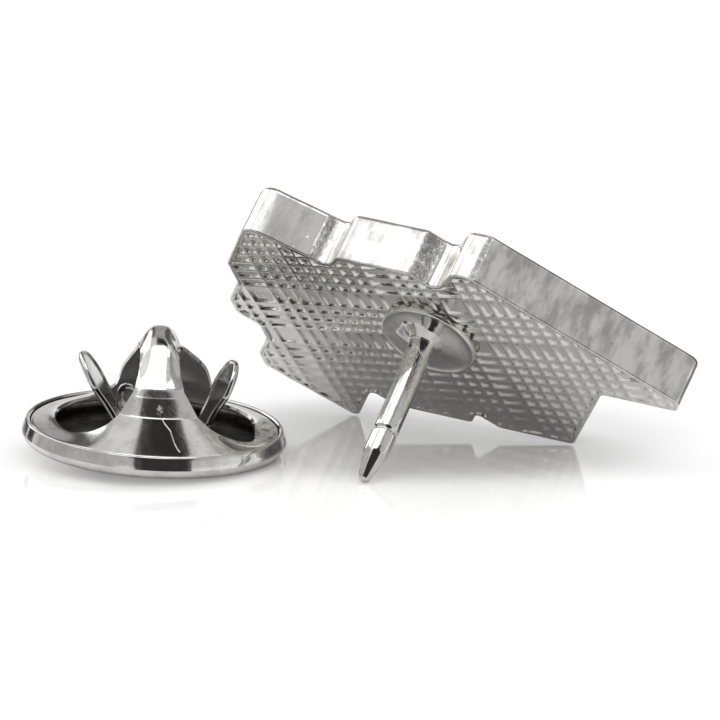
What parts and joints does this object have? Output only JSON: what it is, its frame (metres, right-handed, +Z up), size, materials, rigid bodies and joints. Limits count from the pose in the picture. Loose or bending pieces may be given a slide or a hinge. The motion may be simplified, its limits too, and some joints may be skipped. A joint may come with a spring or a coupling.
{
  "type": "lapel pin",
  "caption": "Lapel pin seen from behind: a cast emblem plate with a cross-hatched back and a soldered post, beside the butterfly clutch that grips the post.",
  "frame": {"origin": "middle of the footprint, on the floor that the badge and the clutch lie on", "axes": "+Z up from the floor, +X from the clutch towards the badge, -Y towards the viewer of the picture"},
  "size_m": [0.0294, 0.0146, 0.0116],
  "materials": {
    "badge": "nickel plating on a zinc casting, bright on the rims and slightly mottled on the walls",
    "clutch_base": "bright nickel plating on pressed sheet",
    "clutch_crown": "bright nickel plating on pressed sheet",
    "wing_left": "bright nickel plating on pressed sheet",
    "wing_right": "bright nickel plating on pressed sheet"
  },
  "bodies": {
    "pin": {"badge": "badge", "clutch_base": "clutch_base", "clutch_crown": "clutch_crown"},
    "left_wing": {"wing_left": "wing_left"},
    "right_wing": {"wing_right": "wing_right"}
  },
  "joints": [
    {"name": "left_squeeze", "type": "hinge", "parent": "pin", "child": "left_wing", "pos_m": [-0.01019, -0.00148, 0.00141], "axis": [0.0356, 0.9991, 0.0214], "range_deg": [0, 12], "stiffness_Nm_per_rad": 0.02},
    {"name": "right_squeeze", "type": "hinge", "parent": "pin", "child": "right_wing", "pos_m": [-0.00702, -0.00164, 0.00121], "axis": [0.0689, -0.9972, -0.0278], "range_deg": [0, 12], "stiffness_Nm_per_rad": 0.02}
  ]
}
